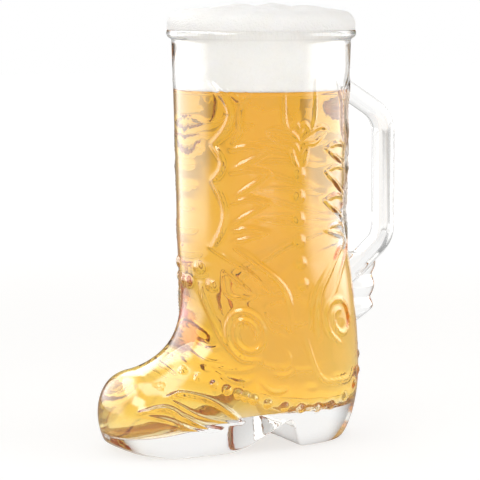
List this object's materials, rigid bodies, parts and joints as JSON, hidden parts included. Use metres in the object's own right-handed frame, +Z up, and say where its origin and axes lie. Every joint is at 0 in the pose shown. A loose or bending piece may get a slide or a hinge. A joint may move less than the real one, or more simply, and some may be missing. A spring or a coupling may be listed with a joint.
{
  "type": "beer boot glass",
  "caption": "Boot-shaped glass beer mug with a moulded western-boot relief and an applied side handle, full of lager under a domed head of foam.",
  "frame": {"origin": "middle of the whole object's footprint, on the table under the heel and the sole", "axes": "+Z up along the shaft, -X towards the toe, +X towards the handle, Y across the boot"},
  "size_m": [0.161, 0.0946, 0.2207],
  "materials": {
    "boot_glass": "clear mould-blown glass, fire polished",
    "handle_glass": "clear drawn glass, fire polished",
    "lager": "clear amber lager, a liquid",
    "foam": "fine creamy beer foam"
  },
  "bodies": {
    "root": {"boot_body": "boot_glass", "handle": "handle_glass", "beer": "lager", "foam_head": "foam"}
  },
  "joints": []
}
